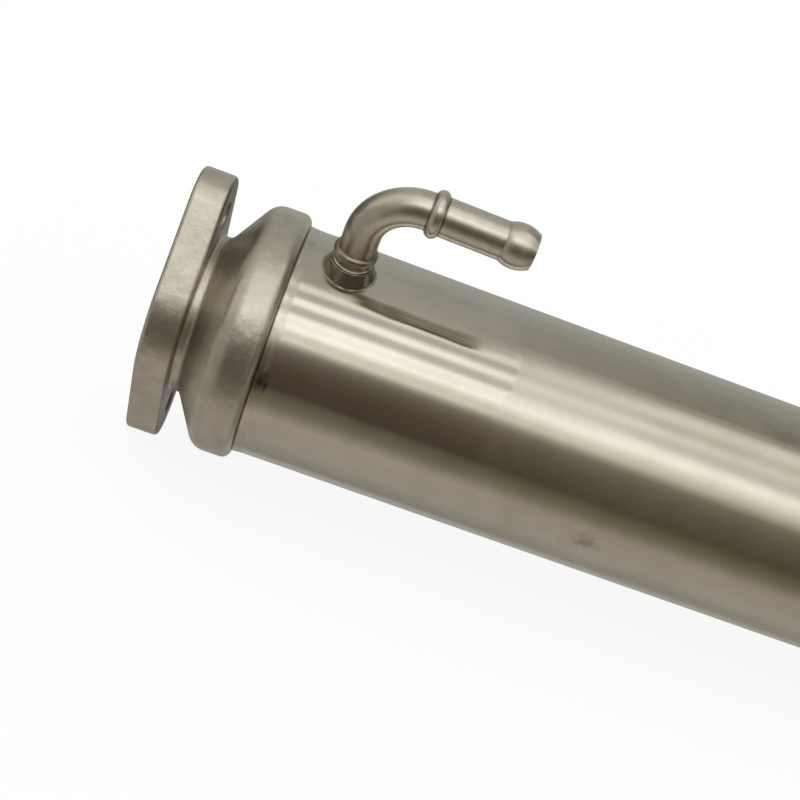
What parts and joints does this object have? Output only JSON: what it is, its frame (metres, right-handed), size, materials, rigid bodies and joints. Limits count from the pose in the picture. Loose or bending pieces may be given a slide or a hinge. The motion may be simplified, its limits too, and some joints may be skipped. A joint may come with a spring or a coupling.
{
  "type": "egr cooler",
  "caption": "Round shell-and-tube exhaust gas cooler with a two-bolt cast flange at each end and two bent coolant hose pipes.",
  "frame": {"origin": "centre of the inlet flange's face", "axes": "+X along the tube away from the inlet flange, +Z along the line through the flange's two bolt holes"},
  "size_m": [0.33, 0.0692, 0.0995],
  "materials": {
    "cast_stainless": "matte, blasted casting",
    "polished_stainless": "polished along the tube, with fine lines",
    "weld_metal": "dull fused metal",
    "plain_stainless": "plain drawn metal",
    "turned_stainless": "satin, turned",
    "satin_stainless": "satin, drawn and bent"
  },
  "bodies": {
    "root": {"inlet_header": "cast_stainless", "outlet_header": "cast_stainless", "shell": "polished_stainless", "inlet_shell_weld": "weld_metal", "outlet_shell_weld": "weld_metal", "inlet_tube_sheet": "plain_stainless", "outlet_tube_sheet": "plain_stainless", "coolant_inlet_collar": "turned_stainless", "coolant_outlet_collar": "turned_stainless", "coolant_inlet_pipe": "satin_stainless", "coolant_outlet_pipe": "satin_stainless", "gas_tube_01": "plain_stainless", "gas_tube_02": "plain_stainless", "gas_tube_03": "plain_stainless", "gas_tube_04": "plain_stainless", "gas_tube_05": "plain_stainless", "gas_tube_06": "plain_stainless", "gas_tube_07": "plain_stainless", "gas_tube_08": "plain_stainless", "gas_tube_09": "plain_stainless", "gas_tube_10": "plain_stainless", "gas_tube_11": "plain_stainless", "gas_tube_12": "plain_stainless", "gas_tube_13": "plain_stainless", "gas_tube_14": "plain_stainless", "gas_tube_15": "plain_stainless", "gas_tube_16": "plain_stainless", "gas_tube_17": "plain_stainless", "gas_tube_18": "plain_stainless", "gas_tube_19": "plain_stainless", "baffle_1": "plain_stainless", "baffle_2": "plain_stainless", "baffle_3": "plain_stainless"}
  },
  "joints": []
}
